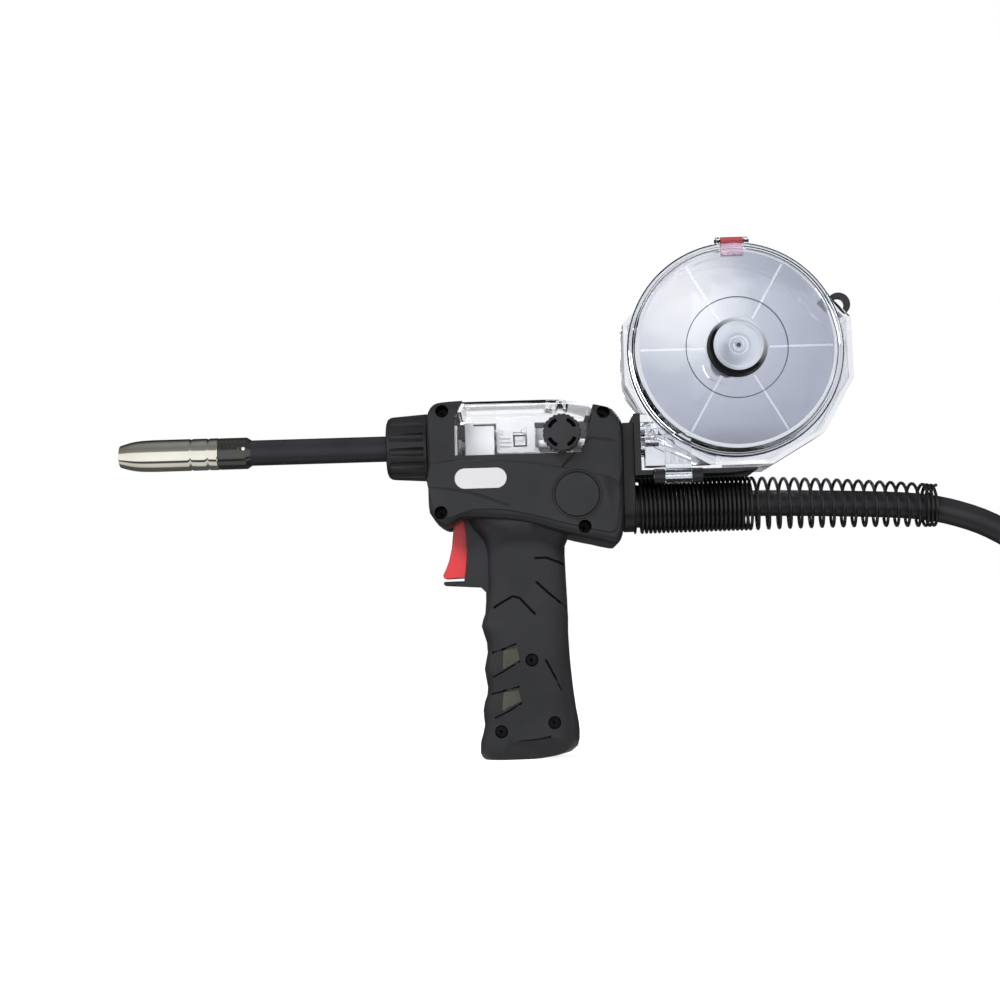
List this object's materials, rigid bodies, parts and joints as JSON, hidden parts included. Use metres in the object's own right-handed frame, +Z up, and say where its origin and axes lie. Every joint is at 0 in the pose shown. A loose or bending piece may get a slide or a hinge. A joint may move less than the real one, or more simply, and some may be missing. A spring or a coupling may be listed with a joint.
{
  "type": "mig welding torch",
  "caption": "Pistol-grip MIG spool gun: straight nozzle barrel, trigger, wire drive under a clear cover, hinged clear spool canister, spring-guarded lead with central plug.",
  "frame": {"origin": "on the flat foot of the handle, in the split plane of the housing, under the handle's axis", "axes": "+Z up, -X along the barrel out of the nozzle, -Y towards the gun's left side, where the canister lid and the cover knob are"},
  "size_m": [0.6777, 0.2174, 0.2806],
  "materials": {
    "left_housing": "moulded",
    "right_housing": "moulded",
    "housing_screws": "machined",
    "label_plate": "moulded",
    "side_cap": "moulded",
    "trigger": "moulded",
    "trigger_pin": "machined",
    "micro_switch": "moulded",
    "switch_plunger": "moulded",
    "neck_nut": "moulded",
    "neck_tube": "moulded",
    "neck_conductor": "turned and bright",
    "nozzle_insulator": "moulded",
    "gas_diffuser": "turned and bright",
    "contact_tip": "turned and bright",
    "nozzle": "polished nickel",
    "current_block": "turned and bright",
    "outlet_guide": "turned and bright",
    "feed_frame": "moulded",
    "gear_motor": "machined",
    "drive_roll": "machined",
    "pressure_arm": "moulded",
    "pressure_roll": "machined",
    "roll_axle": "machined",
    "arm_pin": "machined",
    "inlet_guide": "turned and bright",
    "feed_cover": "clear moulded",
    "cover_knob": "moulded",
    "rear_adapter": "moulded",
    "canister_bracket": "moulded",
    "bracket_screws": "machined",
    "canister_body": "clear moulded",
    "canister_lid": "clear moulded",
    "lid_pin": "machined",
    "lid_latch": "moulded",
    "latch_pin": "machined",
    "hang_eye": "machined",
    "spool_shaft": "machined",
    "spool_hub": "moulded",
    "brake_spring": "machined",
    "shaft_nut": "machined",
    "wire_guide": "machined",
    "rear_gland": "moulded",
    "strain_spring": "machined",
    "power_cable": "satin sheath",
    "cable_coil": "satin sheath",
    "cable_tail": "satin sheath",
    "plug_boot": "satin sheath",
    "plug_body": "moulded",
    "plug_nut": "moulded",
    "plug_pins": "turned and bright"
  },
  "bodies": {
    "gun": {"left_housing": "left_housing", "right_housing": "right_housing", "housing_screws": "housing_screws", "label_plate": "label_plate", "side_cap": "side_cap", "trigger_pin": "trigger_pin", "micro_switch": "micro_switch", "neck_tube": "neck_tube", "neck_conductor": "neck_conductor", "nozzle_insulator": "nozzle_insulator", "gas_diffuser": "gas_diffuser", "contact_tip": "contact_tip", "current_block": "current_block", "outlet_guide": "outlet_guide", "feed_frame": "feed_frame", "gear_motor": "gear_motor", "arm_pin": "arm_pin", "inlet_guide": "inlet_guide", "rear_adapter": "rear_adapter", "canister_bracket": "canister_bracket", "bracket_screws": "bracket_screws", "canister_body": "canister_body", "lid_pin": "lid_pin", "hang_eye": "hang_eye", "spool_shaft": "spool_shaft", "brake_spring": "brake_spring", "shaft_nut": "shaft_nut", "wire_guide": "wire_guide", "rear_gland": "rear_gland", "strain_spring": "strain_spring", "power_cable": "power_cable", "cable_coil": "cable_coil", "cable_tail": "cable_tail", "plug_boot": "plug_boot", "plug_body": "plug_body", "plug_pins": "plug_pins"},
    "trigger": {"trigger": "trigger"},
    "plunger": {"switch_plunger": "switch_plunger"},
    "lock_nut": {"neck_nut": "neck_nut"},
    "nozzle": {"nozzle": "nozzle"},
    "cover": {"feed_cover": "feed_cover"},
    "knob": {"cover_knob": "cover_knob"},
    "drive_roll": {"drive_roll": "drive_roll"},
    "arm": {"pressure_arm": "pressure_arm", "roll_axle": "roll_axle"},
    "press_roll": {"pressure_roll": "pressure_roll"},
    "lid": {"canister_lid": "canister_lid", "latch_pin": "latch_pin"},
    "latch": {"lid_latch": "lid_latch"},
    "hub": {"spool_hub": "spool_hub"},
    "plug_nut": {"plug_nut": "plug_nut"}
  },
  "joints": [
    {"name": "trigger_pull", "type": "hinge", "parent": "gun", "child": "trigger", "pos_m": [-0.0355, 0, 0.1318], "axis": [0, -1, 0], "range_deg": [0, 9], "stiffness_Nm_per_rad": 0.8, "springref_deg": -6.88},
    {"name": "plunger_slide", "type": "slide", "parent": "gun", "child": "plunger", "axis": [1, 0, 0], "range_m": [0, 0.0024]},
    {"name": "lock_nut_turn", "type": "hinge", "parent": "gun", "child": "lock_nut", "pos_m": [-0.06, 0, 0.1723], "axis": [-1, 0, 0], "continuous": true},
    {"name": "nozzle_pull", "type": "slide", "parent": "gun", "child": "nozzle", "axis": [-1, 0, 0], "range_m": [0, 0.06]},
    {"name": "cover_pull", "type": "slide", "parent": "gun", "child": "cover", "axis": [0, -1, 0], "range_m": [0, 0.062]},
    {"name": "knob_turn", "type": "hinge", "parent": "cover", "child": "knob", "pos_m": [0.022, -0.03, 0.1744], "axis": [0, -1, 0], "continuous": true},
    {"name": "drive_roll_spin", "type": "hinge", "parent": "gun", "child": "drive_roll", "pos_m": [0.002, 0, 0.1627], "axis": [0, 1, 0], "continuous": true},
    {"name": "arm_lift", "type": "hinge", "parent": "gun", "child": "arm", "pos_m": [-0.011, 0, 0.1787], "axis": [0, -1, 0], "range_deg": [0, 10], "stiffness_Nm_per_rad": 0.4, "springref_deg": -17.19},
    {"name": "press_roll_spin", "type": "hinge", "parent": "arm", "child": "press_roll", "pos_m": [0.002, 0, 0.1793], "axis": [0, 1, 0], "continuous": true},
    {"name": "lid_open", "type": "hinge", "parent": "gun", "child": "lid", "pos_m": [0, -0.0275, 0.15], "axis": [1, 0, 0], "range_deg": [0, 100]},
    {"name": "latch_lift", "type": "hinge", "parent": "lid", "child": "latch", "pos_m": [0, -0.0236, 0.2783], "axis": [1, 0, 0], "range_deg": [0, 30]},
    {"name": "hub_spin", "type": "hinge", "parent": "gun", "child": "hub", "pos_m": [0.1183, 0, 0.2186], "axis": [0, 1, 0], "continuous": true},
    {"name": "plug_nut_turn", "type": "hinge", "parent": "gun", "child": "plug_nut", "pos_m": [0.263, -0.166, 0.0214], "axis": [-1, 0, 0], "continuous": true}
  ],
  "couplings": [
    {"joint": "plunger_slide", "follows": "trigger_pull", "m_per_rad": 0.0152},
    {"joint": "press_roll_spin", "follows": "drive_roll_spin", "ratio": -1.5385}
  ]
}
